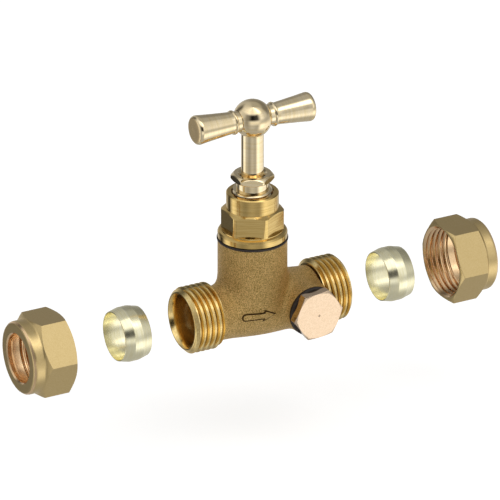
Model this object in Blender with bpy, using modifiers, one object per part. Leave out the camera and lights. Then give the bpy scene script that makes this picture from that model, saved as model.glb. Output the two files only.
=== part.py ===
"""A 15 mm brass stop valve with a crutch handle and a drain-off plug, shown with its two
compression nuts and olives drawn off along the pipe axis.

Frame: the origin is where the pipe axis (X) meets the spindle axis (Z). Water flows towards +X,
the drain plug faces -Y. All sizes below are in millimetres; the model itself is in metres.
"""

import math

import bmesh
import bpy
from mathutils import Matrix

MM = 0.001
SHARP = math.radians(30)

# --- Driving dimensions, in mm ------------------------------------------------------------------

# The copper pipe that the valve takes, and the contact gaps and running clearances.
PIPE_RADIUS = 7.5
PIPE_CLEARANCE = 0.1
OLIVE_CLEARANCE = 0.05
SEAT_GAP = 0.1
RUNNING_GAP = 0.15
THREAD_SLACK = 0.05

# How finely round shapes are cut up. The ports' coarse threads and small bores have their own.
FACETS = 24
SMALL_FACETS = 16
PORT_FACETS = 20

# Ports: G 1/2 male threads round a socket with a coned mouth, and how far each end face is out.
INLET_REACH = 24.8
OUTLET_REACH = 30.3
SOCKET_DEPTH = 10.5
PORT_WALL = 1.72
PORT_THREAD_HEIGHT = 1.1575
PORT_PITCH = 1.814
PORT_THREAD_LENGTH = 9.8
PORT_CHAMFER = 1.2
MOUTH_FLARE = 1.15
MOUTH_DEPTH = 1.9
PIPE_STOP = 1.6

# Body: the tube behind each thread swells into a bulb, and the neck stands on it.
TUBE_STEP = 0.92
BULB_SWELL = 1.2
BULB_CENTRE = 5.0
BULB_HALF_LENGTH = 15.0
NECK_WALL = 1.65
NECK_TOP = 22.8

# Seat, and the chamber that the jumper moves in.
SEAT_TOP = 4.0
SEAT_HEIGHT = 0.8
SEAT_BORE = 4.2
SEAT_RIM_WIDTH = 1.2
CHAMBER_SPACE = 0.8
CHAMBER_STEP = 1.0
CHAMBER_STEP_HEIGHT = 5.5
INLET_DUCT_RADIUS = 4.1
OUTLET_DUCT_RADIUS = 3.4

# Jumper: the loose valve plate with its pin, rubber washer and nut.
WASHER_THICKNESS = 2.8
WASHER_MARGIN = 0.4
PLATE_THICKNESS = 1.8
PLATE_MARGIN = 0.3
PIN_WALL = 1.3
PIN_LENGTH = 10.0
STUD_RADIUS = 1.5
STUD_NUT_WALL = 1.0
STUD_NUT_THICKNESS = 1.6

# Spindle and its trapezoidal thread, which has a step of its own on the stem.
STEM_RADIUS = 3.5
SPINDLE_STEP = 0.45
SPINDLE_THREAD_HEIGHT = 0.95
SPINDLE_PITCH = 2.5
SPINDLE_TURNS = 2.5

# Gland: packing ring, follower ring and the gland nut that squeezes them.
PACKING_WIDTH = 1.85
PACKING_THICKNESS = 3.3
FOLLOWER_THICKNESS = 1.0
GLAND_DEPTH = 8.0
GLAND_THREAD_HEIGHT = 0.65
GLAND_PITCH = 1.25
GLAND_THREAD_LENGTH = 4.4
GLAND_NECK_STEP = 0.45
GLAND_NECK_LENGTH = 2.6
GLAND_HEX_WIDTH = 1.0
GLAND_HEX_HEIGHT = 2.5
GLAND_HEX_CORNER = 0.75
GLAND_TURN = 2.0
GLAND_PRESS = 1.0
GLAND_MOUTH = 0.5

# Bonnet: a hexagon between a flange and a round top, screwed into the neck.
BONNET_CLEARANCE = 0.1
BONNET_THREAD_HEIGHT = 0.95
BONNET_THREAD_RELIEF = 1.6
BONNET_FOOT = 3.7
FLANGE_OVERHANG = 0.05
FLANGE_THICKNESS = 2.6
FLANGE_CHAMFER = 0.6
BONNET_HEX_HEIGHT = 7.2
BONNET_HEX_WIDTH = 0.6
BONNET_HEX_CORNER = 0.95
BONNET_WALL = 2.05
BONNET_SHOULDER_HEIGHT = 5.3
BONNET_TURN = -3.0
SEAL_THICKNESS = 0.6
SEAL_OVERHANG = 0.3

# Crutch handle: a ball hub with two flared arms screwed into it.
HANDLE_RISE = 24.2
HUB_WALL = 2.55
HUB_FLAT_DEPTH = 1.05
HUB_BORE_DEPTH = 8.0
ARM_REACH = 20.2
ARM_NECK_RADIUS = 3.3
ARM_LIP_RADIUS = 3.8
ARM_ROOT_RADIUS = 3.45
ARM_END_RADIUS = 4.6
ARM_STUD_RADIUS = 2.0
ARM_STUD_LENGTH = 1.2
GRUB_RADIUS = 1.3
GRUB_LENGTH = 2.0

# Drain-off boss, its G 1/4 plug and sealing washer.
DRAIN_OFFSET = 14.4
DRAIN_HOLE_RADIUS = 3.5
DRAIN_ROOT = 5.72
DRAIN_THREAD_HEIGHT = 0.8585
DRAIN_PITCH = 1.337
DRAIN_THREAD_DEPTH = 4.7
BOSS_WALL = 1.4215
BOSS_REACH = 12.4
DRAIN_WASHER_THICKNESS = 1.2
PLUG_HEX_ACROSS = 14.8
PLUG_HEX_CORNER = 1.1
PLUG_HEX_HEIGHT = 2.9
PLUG_SHANK_LENGTH = 4.4
PLUG_TURN = 35.0

# Compression nut and olive, and where they stand when drawn off the valve.
NUT_CLEARANCE = 0.1725
NUT_THREAD_HEIGHT = 0.65
NUT_THREAD_START = 0.5
NUT_THREAD_END = 8.6
NUT_WALL = 0.5
NUT_HEX_CORNER = 2.1
NUT_HEX_LENGTH = 10.0
NUT_COLLAR_LENGTH = 4.4
NUT_COLLAR_STEP = 0.3
NUT_CONE_END = 12.8
INLET_NUT_TURN = 4.0
OUTLET_NUT_TURN = 1.5
OLIVE_LENGTH = 9.0
OLIVE_WALL = 1.05
OLIVE_END_WALL = 0.3
OLIVE_BAND = 3.0
INLET_NUT_OUT = 66.6
INLET_OLIVE_OUT = 39.0
OUTLET_NUT_OUT = 67.3
OUTLET_OLIVE_OUT = 44.3

# Flow arrow raised on the front of the body.
ARROW_START = -7.9
ARROW_LENGTH = 9.9
ARROW_HEAD_LENGTH = 3.2
ARROW_SHAFT_WIDTH = 1.7
ARROW_HEAD_WIDTH = 2.9
ARROW_HEIGHT = 0.9
ARROW_RAISE = 0.45

# --- Sizes and places that follow from them -----------------------------------------------------

SOCKET_RADIUS = PIPE_RADIUS + PIPE_CLEARANCE
WATERWAY_RADIUS = SOCKET_RADIUS - PIPE_STOP
MOUTH_RADIUS = SOCKET_RADIUS + MOUTH_FLARE
PORT_ROOT = SOCKET_RADIUS + PORT_WALL
PORT_CREST = PORT_ROOT + PORT_THREAD_HEIGHT
TUBE_RADIUS = PORT_ROOT - TUBE_STEP
BULB_RADIUS = TUBE_RADIUS + BULB_SWELL

SEAT_RIM = SEAT_BORE + SEAT_RIM_WIDTH
WASHER_RADIUS = SEAT_RIM + WASHER_MARGIN
WASHER_BOTTOM = SEAT_TOP + SEAT_GAP
PLATE_RADIUS = WASHER_RADIUS + PLATE_MARGIN
PLATE_BOTTOM = WASHER_BOTTOM + WASHER_THICKNESS + SEAT_GAP
PLATE_TOP = PLATE_BOTTOM + PLATE_THICKNESS
CHAMBER_RADIUS = PLATE_RADIUS + CHAMBER_SPACE
CHAMBER_WIDE_RADIUS = CHAMBER_RADIUS + CHAMBER_STEP
CHAMBER_WIDE_BOTTOM = SEAT_TOP + CHAMBER_STEP_HEIGHT

SPINDLE_SHANK = STEM_RADIUS + SPINDLE_STEP - 0.2
SPINDLE_ROOT = STEM_RADIUS + SPINDLE_STEP
SPINDLE_CREST = SPINDLE_ROOT + SPINDLE_THREAD_HEIGHT
PIN_RADIUS = STEM_RADIUS - PIN_WALL
GLAND_CHAMBER_RADIUS = STEM_RADIUS + PACKING_WIDTH
GLAND_ROOT = GLAND_CHAMBER_RADIUS + SEAT_GAP
GLAND_CREST = GLAND_ROOT + GLAND_THREAD_HEIGHT
GLAND_NECK_RADIUS = GLAND_ROOT - GLAND_NECK_STEP
GLAND_HEX_ACROSS = 2 * (GLAND_NECK_RADIUS + GLAND_HEX_WIDTH)
GLAND_HEX_RADIUS = GLAND_HEX_ACROSS / 2 + GLAND_HEX_CORNER

BONNET_ROOT = CHAMBER_WIDE_RADIUS + BONNET_CLEARANCE
BONNET_CREST = BONNET_ROOT + BONNET_THREAD_HEIGHT
BONNET_BOTTOM = PLATE_TOP + BONNET_FOOT
BONNET_THREAD_TOP = NECK_TOP - BONNET_THREAD_RELIEF
NECK_RADIUS = BONNET_CREST + RUNNING_GAP + NECK_WALL
SEAL_RADIUS = NECK_RADIUS + SEAL_OVERHANG
FLANGE_RADIUS = NECK_RADIUS + FLANGE_OVERHANG
BONNET_SEAT = NECK_TOP + SEAL_THICKNESS + 2 * SEAT_GAP
HEX_BOTTOM = BONNET_SEAT + FLANGE_THICKNESS
HEX_TOP = HEX_BOTTOM + BONNET_HEX_HEIGHT
BONNET_TOP = HEX_TOP + BONNET_SHOULDER_HEIGHT
BONNET_SHOULDER_RADIUS = GLAND_CREST + BONNET_WALL
BONNET_HEX_ACROSS = 2 * (BONNET_SHOULDER_RADIUS + BONNET_HEX_WIDTH)
BONNET_HEX_RADIUS = BONNET_HEX_ACROSS / 2 + BONNET_HEX_CORNER

GLAND_CHAMBER_FLOOR = BONNET_TOP - GLAND_DEPTH
PACKING_BOTTOM = GLAND_CHAMBER_FLOOR + SEAT_GAP
FOLLOWER_BOTTOM = PACKING_BOTTOM + PACKING_THICKNESS + SEAT_GAP
GLAND_NUT_BOTTOM = FOLLOWER_BOTTOM + FOLLOWER_THICKNESS + SEAT_GAP
GLAND_HEX_BOTTOM = GLAND_NUT_BOTTOM + GLAND_THREAD_LENGTH + GLAND_NECK_LENGTH

HUB_RADIUS = STEM_RADIUS + HUB_WALL
HUB_SPOT = HUB_RADIUS - HUB_FLAT_DEPTH
HUB_HEIGHT = BONNET_TOP + HANDLE_RISE
SPINDLE_BOTTOM = PLATE_TOP + SEAT_GAP
SPINDLE_TOP = HUB_HEIGHT + HUB_BORE_DEPTH - HUB_RADIUS - SEAT_GAP
SPINDLE_THREAD_BOTTOM = BONNET_BOTTOM + 0.5
SPINDLE_THREAD_TOP = NECK_TOP - 0.3

DRAIN_CREST = DRAIN_ROOT + DRAIN_THREAD_HEIGHT
BOSS_RADIUS = DRAIN_CREST + BOSS_WALL
PLUG_HEX_RADIUS = PLUG_HEX_ACROSS / 2 + PLUG_HEX_CORNER

NUT_BORE = PORT_CREST + NUT_CLEARANCE
NUT_THREAD_RADIUS = NUT_BORE + NUT_THREAD_HEIGHT
NUT_MOUTH_RADIUS = NUT_THREAD_RADIUS + SEAT_GAP
NUT_ACROSS = 2 * (NUT_THREAD_RADIUS + NUT_WALL)
NUT_RADIUS = NUT_ACROSS / 2 + NUT_HEX_CORNER
NUT_COLLAR_RADIUS = NUT_ACROSS / 2 - NUT_COLLAR_STEP
NUT_LENGTH = NUT_HEX_LENGTH + NUT_COLLAR_LENGTH
NUT_HOLE_RADIUS = PIPE_RADIUS + RUNNING_GAP
OLIVE_BORE = PIPE_RADIUS + OLIVE_CLEARANCE
OLIVE_RADIUS = OLIVE_BORE + OLIVE_WALL
OLIVE_END_RADIUS = OLIVE_BORE + OLIVE_END_WALL

# Unit directions for pieces that are built along +Z and then laid along another axis.
UPRIGHT = (0, 0, 0)
TOWARDS_INLET = (0, -math.pi / 2, 0)
TOWARDS_OUTLET = (0, math.pi / 2, 0)
TOWARDS_FRONT = (math.pi / 2, 0, 0)
TOWARDS_BACK = (-math.pi / 2, 0, 0)


# --- Scene, collections and materials -----------------------------------------------------------


def clear_scene():
    for obj in list(bpy.data.objects):
        bpy.data.objects.remove(obj)


def new_collection(name):
    collection = bpy.data.collections.new(name)
    bpy.context.scene.collection.children.link(collection)
    return collection


def material(name, colour, roughness, metallic):
    made = bpy.data.materials.new(name)
    made.use_nodes = True
    shader = made.node_tree.nodes["Principled BSDF"]
    shader.inputs["Base Color"].default_value = (*colour, 1)
    shader.inputs["Roughness"].default_value = roughness
    shader.inputs["Metallic"].default_value = metallic
    return made


clear_scene()
PARTS = new_collection("stop_valve")
CUTTERS = new_collection("cutters")
CAST_BRASS = material("cast_brass", (0.52, 0.37, 0.17), 0.5, 1.0)
TURNED_BRASS = material("turned_brass", (0.72, 0.54, 0.27), 0.3, 1.0)
POLISHED_BRASS = material("polished_brass", (0.83, 0.68, 0.42), 0.12, 1.0)
OLIVE_BRASS = material("olive_brass", (0.78, 0.70, 0.42), 0.2, 1.0)
BLACK_RUBBER = material("black_rubber", (0.03, 0.025, 0.025), 0.6, 0.0)
PACKING_YARN = material("packing_yarn", (0.85, 0.84, 0.80), 0.7, 0.0)


# --- Shapes -------------------------------------------------------------------------------------


def object_of(bm, name):
    """Closes off a bmesh as an object in metres, with its faces pointing out."""
    bmesh.ops.recalc_face_normals(bm, faces=bm.faces)
    bmesh.ops.scale(bm, vec=(MM, MM, MM), verts=bm.verts)
    mesh = bpy.data.meshes.new(name)
    bm.to_mesh(mesh)
    bm.free()
    mesh.shade_smooth()
    mesh.set_sharp_from_angle(angle=SHARP)
    return bpy.data.objects.new(name, mesh)


def turned(name, profile, facets=FACETS):
    """A shape turned about Z from (radius, height) points that run down its outer side.

    The profile is closed by itself, or ends on the axis at both ends.
    """
    mesh = bpy.data.meshes.new(name)
    points = [(radius * MM, 0, height * MM) for radius, height in profile]
    edges = [(i, i + 1) for i in range(len(points) - 1)]
    if profile[0][0] > 0:
        edges.append((len(points) - 1, 0))
    mesh.from_pydata(points, edges, [])
    obj = bpy.data.objects.new(name, mesh)
    screw = obj.modifiers.new("turn", "SCREW")
    screw.steps = screw.render_steps = facets
    screw.use_merge_vertices = True
    screw.merge_threshold = 0.00001
    screw.use_smooth_shade = True
    return obj


def cylinder(name, radius, bottom, top, facets=FACETS):
    return turned(name, [(0, top), (radius, top), (radius, bottom), (0, bottom)], facets)


def ring(name, outer, inner, bottom, top):
    return turned(name, [(inner, top), (outer, top), (outer, bottom), (inner, bottom)])


def hexagon(name, across, corner, bottom, top, turn=0.0, slope=0.45):
    """A hexagonal prism, across its flats, whose corners are turned off to a radius and chamfered."""
    bm = bmesh.new()
    bmesh.ops.create_cone(
        bm,
        cap_ends=True,
        segments=6,
        radius1=across / math.sqrt(3),
        radius2=across / math.sqrt(3),
        depth=top - bottom,
    )
    bmesh.ops.translate(bm, verts=bm.verts, vec=(0, 0, (top + bottom) / 2))
    prism = object_of(bm, name)
    prism.data.transform(Matrix.Rotation(math.radians(turn), 4, "Z"))
    flat = across / 2
    drop = (corner - flat) * slope
    bound = turned(
        name + "_corners",
        [
            (0, top + 1),
            (flat - 1 / slope, top + 1),
            (corner, top - drop),
            (corner, bottom + drop),
            (flat - 1 / slope, bottom - 1),
            (0, bottom - 1),
        ],
    )
    combine(prism, bound, "INTERSECT")
    return prism


def thread_rod(name, crest, root, pitch, bottom, top, slack=0.0, facets=PORT_FACETS):
    """A right-hand screw thread with flat ends. Slack widens its ridge, for a cutter.

    Every thread starts its ridge at height 0, so two of one pitch on one axis are in step.
    """
    flank = 0.3 * pitch
    flat = (pitch - 2 * flank) / 2
    first = math.floor(bottom / pitch) - 1
    turns = math.ceil(top / pitch) + 1 - first
    start = first * pitch
    ridge = [
        (root, start - slack),
        (crest, start + flank - slack),
        (crest, start + flank + flat + slack),
        (root, start + 2 * flank + flat + slack),
        (root, start + pitch - slack),
    ]
    bm = bmesh.new()
    points = [bm.verts.new((radius, 0, height)) for radius, height in ridge]
    edges = [bm.edges.new(pair) for pair in zip(points, points[1:])]
    bmesh.ops.spin(
        bm,
        geom=points + edges,
        cent=(0, 0, 0),
        axis=(0, 0, 1),
        dvec=(0, 0, pitch / facets),
        angle=2 * math.pi * turns,
        steps=facets * turns,
    )
    bmesh.ops.remove_doubles(bm, verts=bm.verts, dist=0.001)
    for height, normal in ((top, 1), (bottom, -1)):
        bmesh.ops.bisect_plane(
            bm,
            geom=bm.verts[:] + bm.edges[:] + bm.faces[:],
            plane_co=(0, 0, height),
            plane_no=(0, 0, normal),
            clear_outer=True,
        )
    bmesh.ops.holes_fill(bm, edges=bm.edges[:])
    return object_of(bm, name)


def combine(body, tool, operation):
    """Joins, cuts or trims the body with a tool made in the body's own frame, which stays hidden.

    The solver is Manifold, as Exact leaves open edges where a thread's helix grazes a round face.
    """
    CUTTERS.objects.link(tool)
    tool.hide_render = True
    tool.display_type = "WIRE"
    tool.parent = body
    change = body.modifiers.new(tool.name, "BOOLEAN")
    change.operation = operation
    change.object = tool
    change.solver = "MANIFOLD"


def cut(body, tool):
    combine(body, tool, "DIFFERENCE")


def join(body, tool):
    combine(body, tool, "UNION")


def lay(obj, direction, place=(0, 0, 0)):
    """Turns an object built along +Z to a direction, and puts it at a place in mm."""
    obj.rotation_euler = direction
    obj.location = [value * MM for value in place]
    return obj


def finish(obj, finish_material, parent=None):
    """Makes an object a part, with its material, on its joint's empty if it has one."""
    PARTS.objects.link(obj)
    obj.data.materials.append(finish_material)
    obj.parent = parent
    return obj


def joint_empty(name):
    """An empty at the origin, where the spindle's, the gland's and the pipe's axes meet."""
    empty = bpy.data.objects.new(name, None)
    PARTS.objects.link(empty)
    return empty


def duct(name, radius, start, end):
    """A straight round duct between two (x, z) points in the plane of the pipe and the spindle."""
    run, rise = end[0] - start[0], end[1] - start[1]
    made = cylinder(name, radius, 0, math.hypot(run, rise), SMALL_FACETS)
    return lay(made, (0, math.atan2(run, rise), 0), (start[0], 0, start[1]))


# --- Valve body ---------------------------------------------------------------------------------


def port_thread(name, reach, direction):
    """The threaded end of a port: a screw thread with its outer end chamfered."""
    inner = reach - PORT_THREAD_LENGTH
    rod = thread_rod(name, PORT_CREST, PORT_ROOT, PORT_PITCH, inner, reach + 0.5)
    face = PORT_CREST - PORT_CHAMFER
    bound = turned(
        name + "_chamfer",
        [
            (0, reach),
            (face, reach),
            (PORT_CREST + 1, reach - PORT_CHAMFER - 1),
            (PORT_CREST + 1, inner - 1),
            (0, inner - 1),
        ],
    )
    combine(rod, bound, "INTERSECT")
    return lay(rod, direction)


def port_bore(name, reach, inner, direction):
    """The pipe socket with its coned mouth, its pipe stop and the waterway behind it."""
    stop = reach - SOCKET_DEPTH
    slope = (MOUTH_RADIUS - SOCKET_RADIUS) / MOUTH_DEPTH
    made = turned(
        name,
        [
            (0, reach + 1),
            (MOUTH_RADIUS + slope, reach + 1),
            (SOCKET_RADIUS, reach - MOUTH_DEPTH),
            (SOCKET_RADIUS, stop),
            (WATERWAY_RADIUS, stop),
            (WATERWAY_RADIUS, inner),
            (0, inner),
        ],
    )
    return lay(made, direction)


def run_profile(grow=0.0):
    """The cast run along the pipe axis: two tubes that swell into a bulb between them."""
    tube = TUBE_RADIUS + grow
    low = -(INLET_REACH - PORT_THREAD_LENGTH + 1)
    high = OUTLET_REACH - PORT_THREAD_LENGTH + 1
    swell = []
    for step in range(9):
        share = step / 8
        height = BULB_CENTRE + BULB_HALF_LENGTH * (1 - 2 * share)
        rise = (BULB_RADIUS - TUBE_RADIUS) * math.cos(math.pi * (share - 0.5))
        swell.append((tube + rise, height))
    return [(0, high), (tube, high), *swell, (tube, low), (0, low)]


def arrow(name, skin):
    """The raised flow arrow: a slab of its outline, trimmed to a skin that stands off the body."""
    tip = ARROW_START + ARROW_LENGTH
    base = tip - ARROW_HEAD_LENGTH
    half, wide = ARROW_SHAFT_WIDTH / 2, ARROW_HEAD_WIDTH / 2
    outline = [
        (ARROW_START, -half),
        (base, -half),
        (base, -wide),
        (tip, 0),
        (base, wide),
        (base, half),
        (ARROW_START, half),
    ]
    bm = bmesh.new()
    front = -(NECK_RADIUS + 2 * ARROW_RAISE)
    back = -(TUBE_RADIUS - 2 * ARROW_RAISE)
    corners = [bm.verts.new((x, front, z + ARROW_HEIGHT)) for x, z in outline]
    face = bm.faces.new(corners)
    pushed = bmesh.ops.extrude_face_region(bm, geom=[face])["geom"]
    moved = [v for v in pushed if isinstance(v, bmesh.types.BMVert)]
    bmesh.ops.translate(bm, verts=moved, vec=(0, back - front, 0))
    slab = object_of(bm, name)
    combine(slab, skin, "INTERSECT")
    return slab


def valve_body():
    body = cylinder("valve_body", NECK_RADIUS, 0, NECK_TOP)
    join(body, lay(turned("body_run", run_profile()), TOWARDS_OUTLET))
    boss = cylinder("body_boss", BOSS_RADIUS, 0, BOSS_REACH)
    join(body, lay(boss, TOWARDS_FRONT, (DRAIN_OFFSET, 0, 0)))
    join(body, port_thread("inlet_thread", INLET_REACH, TOWARDS_INLET))
    join(body, port_thread("outlet_thread", OUTLET_REACH, TOWARDS_OUTLET))
    run_skin = lay(turned("run_skin", run_profile(ARROW_RAISE)), TOWARDS_OUTLET)
    join(body, arrow("body_arrow_on_run", run_skin))
    neck_skin = cylinder("neck_skin", NECK_RADIUS + ARROW_RAISE, -ARROW_RAISE, NECK_TOP)
    join(body, arrow("body_arrow_on_neck", neck_skin))

    # The waterway: down under the seat from the inlet, up through it, and over to the outlet.
    inlet_stop = INLET_REACH - SOCKET_DEPTH
    cut(body, port_bore("inlet_bore", INLET_REACH, inlet_stop - 1, TOWARDS_INLET))
    cut(body, port_bore("outlet_bore", OUTLET_REACH, 9.5, TOWARDS_OUTLET))
    below = -INLET_DUCT_RADIUS
    cut(body, duct("inlet_duct", INLET_DUCT_RADIUS, (-inlet_stop - 1, -1.0), (1.5, below)))
    cut(body, cylinder("seat_bore", SEAT_BORE, below, SEAT_TOP + 1, 24))
    floor = SEAT_TOP - SEAT_HEIGHT
    chamber = turned(
        "chamber",
        [
            (SEAT_RIM, NECK_TOP - 2),
            (CHAMBER_WIDE_RADIUS, NECK_TOP - 2),
            (CHAMBER_WIDE_RADIUS, CHAMBER_WIDE_BOTTOM),
            (CHAMBER_RADIUS, CHAMBER_WIDE_BOTTOM - 1.5),
            (CHAMBER_RADIUS, floor),
            (SEAT_RIM, floor),
        ],
    )
    cut(body, chamber)
    cut(body, cylinder("above_seat", SEAT_RIM + 0.5, SEAT_TOP, NECK_TOP - 1))
    cut(body, duct("outlet_duct", OUTLET_DUCT_RADIUS, (5.5, 7.5), (DRAIN_OFFSET, 0.5)))

    # The neck's bore for the bonnet, at its thread's outer size: the two never move apart.
    fit = BONNET_CREST + RUNNING_GAP
    cut(body, cylinder("neck_bore", fit, BONNET_BOTTOM - RUNNING_GAP, NECK_TOP + 1))

    # The drain boss: a threaded hole and a smaller one through to the outlet waterway.
    drain = lay(drain_thread("boss_thread", RUNNING_GAP), TOWARDS_FRONT, (DRAIN_OFFSET, 0, 0))
    cut(body, drain)
    hole = cylinder("drain_hole", DRAIN_HOLE_RADIUS, 2, BOSS_REACH - 1, SMALL_FACETS)
    cut(body, lay(hole, TOWARDS_FRONT, (DRAIN_OFFSET, 0, 0)))
    return finish(body, CAST_BRASS)


# --- Bonnet and its seal ------------------------------------------------------------------------


def bonnet():
    body = turned(
        "bonnet",
        [
            (0, BONNET_TOP),
            (BONNET_SHOULDER_RADIUS - 0.6, BONNET_TOP),
            (BONNET_SHOULDER_RADIUS, BONNET_TOP - 0.6),
            (BONNET_SHOULDER_RADIUS, HEX_BOTTOM),
            (FLANGE_RADIUS - FLANGE_CHAMFER, HEX_BOTTOM),
            (FLANGE_RADIUS, HEX_BOTTOM - FLANGE_CHAMFER),
            (FLANGE_RADIUS, BONNET_SEAT),
            (BONNET_ROOT, BONNET_SEAT),
            (BONNET_ROOT, BONNET_BOTTOM + 0.5),
            (BONNET_ROOT - 0.5, BONNET_BOTTOM),
            (0, BONNET_BOTTOM),
        ],
    )
    join(
        body,
        hexagon(
            "bonnet_hex",
            BONNET_HEX_ACROSS,
            BONNET_HEX_RADIUS,
            HEX_BOTTOM - 0.3,
            HEX_TOP,
            BONNET_TURN,
        ),
    )
    shank = cylinder("bonnet_shank", BONNET_CREST, BONNET_BOTTOM + 2, BONNET_THREAD_TOP)
    join(body, shank)

    # Bores, from the bottom: jumper recess, spindle thread, stem hole, gland chamber and thread.
    recess = PLATE_RADIUS + 4 * RUNNING_GAP
    open_lift = SPINDLE_TURNS * SPINDLE_PITCH
    recess_top = PLATE_TOP + open_lift + 1
    cut(body, cylinder("jumper_recess", recess, BONNET_BOTTOM - 1, recess_top))
    cut(
        body,
        thread_rod(
            "bonnet_spindle_thread",
            SPINDLE_CREST + RUNNING_GAP,
            SPINDLE_ROOT + RUNNING_GAP,
            SPINDLE_PITCH,
            recess_top - 1,
            SPINDLE_THREAD_TOP + open_lift + 0.4,
            slack=THREAD_SLACK,
            facets=SMALL_FACETS,
        ),
    )
    stem_hole = STEM_RADIUS + RUNNING_GAP
    cut(body, cylinder("bonnet_stem_hole", stem_hole, recess_top, BONNET_TOP - 1))
    cut(
        body,
        cylinder("gland_chamber", GLAND_CHAMBER_RADIUS, GLAND_CHAMBER_FLOOR, BONNET_TOP + 1),
    )
    cut(
        body,
        thread_rod(
            "bonnet_gland_thread",
            GLAND_CREST + RUNNING_GAP,
            GLAND_ROOT + RUNNING_GAP,
            GLAND_PITCH,
            GLAND_NUT_BOTTOM - GLAND_PRESS - 0.3,
            BONNET_TOP + 1,
            slack=THREAD_SLACK,
            facets=SMALL_FACETS,
        ),
    )
    mouth = GLAND_CREST + GLAND_MOUTH
    cut(body, cylinder("gland_mouth", mouth, BONNET_TOP - 0.7, BONNET_TOP + 1))
    return finish(body, TURNED_BRASS)


def bonnet_seal():
    inner = BONNET_CREST + RUNNING_GAP
    bottom = NECK_TOP + SEAT_GAP
    seal = ring("bonnet_seal", SEAL_RADIUS, inner, bottom, bottom + SEAL_THICKNESS)
    return finish(seal, BLACK_RUBBER)


# --- Spindle, jumper and gland ------------------------------------------------------------------


def spindle(parent):
    body = turned(
        "spindle",
        [
            (0, SPINDLE_TOP),
            (STEM_RADIUS - 0.4, SPINDLE_TOP),
            (STEM_RADIUS, SPINDLE_TOP - 0.4),
            (STEM_RADIUS, SPINDLE_BOTTOM + 1),
            (SPINDLE_SHANK, SPINDLE_BOTTOM + 1),
            (SPINDLE_SHANK - 0.4, SPINDLE_BOTTOM),
            (0, SPINDLE_BOTTOM),
        ],
    )
    shank = cylinder("spindle_shank", SPINDLE_SHANK, SPINDLE_BOTTOM + 0.5, SPINDLE_THREAD_TOP)
    join(body, shank)
    join(
        body,
        thread_rod(
            "spindle_thread",
            SPINDLE_CREST,
            SPINDLE_ROOT,
            SPINDLE_PITCH,
            SPINDLE_THREAD_BOTTOM,
            SPINDLE_THREAD_TOP,
            facets=SMALL_FACETS,
        ),
    )
    pin_hole = PIN_RADIUS + RUNNING_GAP
    hole_top = PLATE_TOP + PIN_LENGTH + 1
    hole = cylinder("spindle_pin_hole", pin_hole, SPINDLE_BOTTOM - 1, hole_top, SMALL_FACETS)
    cut(body, hole)
    return finish(body, POLISHED_BRASS, parent)


def jumper(parent):
    pin_top = PLATE_TOP + PIN_LENGTH
    stud_bottom = WASHER_BOTTOM - STUD_NUT_THICKNESS - SEAT_GAP - 0.5
    body = turned(
        "jumper",
        [
            (0, pin_top),
            (PIN_RADIUS - 0.4, pin_top),
            (PIN_RADIUS, pin_top - 0.4),
            (PIN_RADIUS, PLATE_TOP),
            (PLATE_RADIUS - 0.4, PLATE_TOP),
            (PLATE_RADIUS, PLATE_TOP - 0.4),
            (PLATE_RADIUS, PLATE_BOTTOM),
            (STUD_RADIUS, PLATE_BOTTOM),
            (STUD_RADIUS, stud_bottom),
            (0, stud_bottom),
        ],
    )
    return finish(body, TURNED_BRASS, parent)


def seat_washer(parent):
    top = WASHER_BOTTOM + WASHER_THICKNESS
    inner = STUD_RADIUS + RUNNING_GAP
    washer = ring("seat_washer", WASHER_RADIUS, inner, WASHER_BOTTOM, top)
    return finish(washer, BLACK_RUBBER, parent)


def jumper_nut(parent):
    top = WASHER_BOTTOM - SEAT_GAP
    bottom = top - STUD_NUT_THICKNESS
    flat = STUD_RADIUS + STUD_NUT_WALL
    nut = cylinder("jumper_nut", 2 * flat / math.sqrt(3), bottom, top, 6)
    hole_radius = STUD_RADIUS + RUNNING_GAP
    hole = cylinder("jumper_nut_hole", hole_radius, bottom - 1, top + 1, SMALL_FACETS)
    cut(nut, hole)
    return finish(nut, TURNED_BRASS, parent)


def gland_packing():
    top = PACKING_BOTTOM + PACKING_THICKNESS
    inner = STEM_RADIUS + SEAT_GAP
    outer = GLAND_CHAMBER_RADIUS - SEAT_GAP
    packing = ring("gland_packing", outer, inner, PACKING_BOTTOM, top)
    return finish(packing, PACKING_YARN)


def gland_follower(parent):
    top = FOLLOWER_BOTTOM + FOLLOWER_THICKNESS
    inner = STEM_RADIUS + RUNNING_GAP
    outer = GLAND_CHAMBER_RADIUS - RUNNING_GAP
    follower = ring("gland_follower", outer, inner, FOLLOWER_BOTTOM, top)
    return finish(follower, TURNED_BRASS, parent)


def gland_nut(parent):
    thread_top = GLAND_NUT_BOTTOM + GLAND_THREAD_LENGTH
    hex_top = GLAND_HEX_BOTTOM + GLAND_HEX_HEIGHT
    nut = cylinder("gland_nut", GLAND_NECK_RADIUS, GLAND_NUT_BOTTOM + 0.5, hex_top - 1)
    join(
        nut,
        hexagon(
            "gland_hex",
            GLAND_HEX_ACROSS,
            GLAND_HEX_RADIUS,
            GLAND_HEX_BOTTOM,
            hex_top,
            GLAND_TURN,
            0.9,
        ),
    )
    join(
        nut,
        thread_rod(
            "gland_nut_thread",
            GLAND_CREST,
            GLAND_ROOT,
            GLAND_PITCH,
            GLAND_NUT_BOTTOM,
            thread_top,
            facets=SMALL_FACETS,
        ),
    )
    hole = STEM_RADIUS + RUNNING_GAP
    bore = turned(
        "gland_nut_bore",
        [
            (0, hex_top + 1),
            (hole + 2, hex_top + 1),
            (hole, hex_top - 1),
            (hole, GLAND_NUT_BOTTOM - 1),
            (0, GLAND_NUT_BOTTOM - 1),
        ],
    )
    cut(nut, bore)
    return finish(nut, POLISHED_BRASS, parent)


# --- Crutch handle ------------------------------------------------------------------------------


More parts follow.
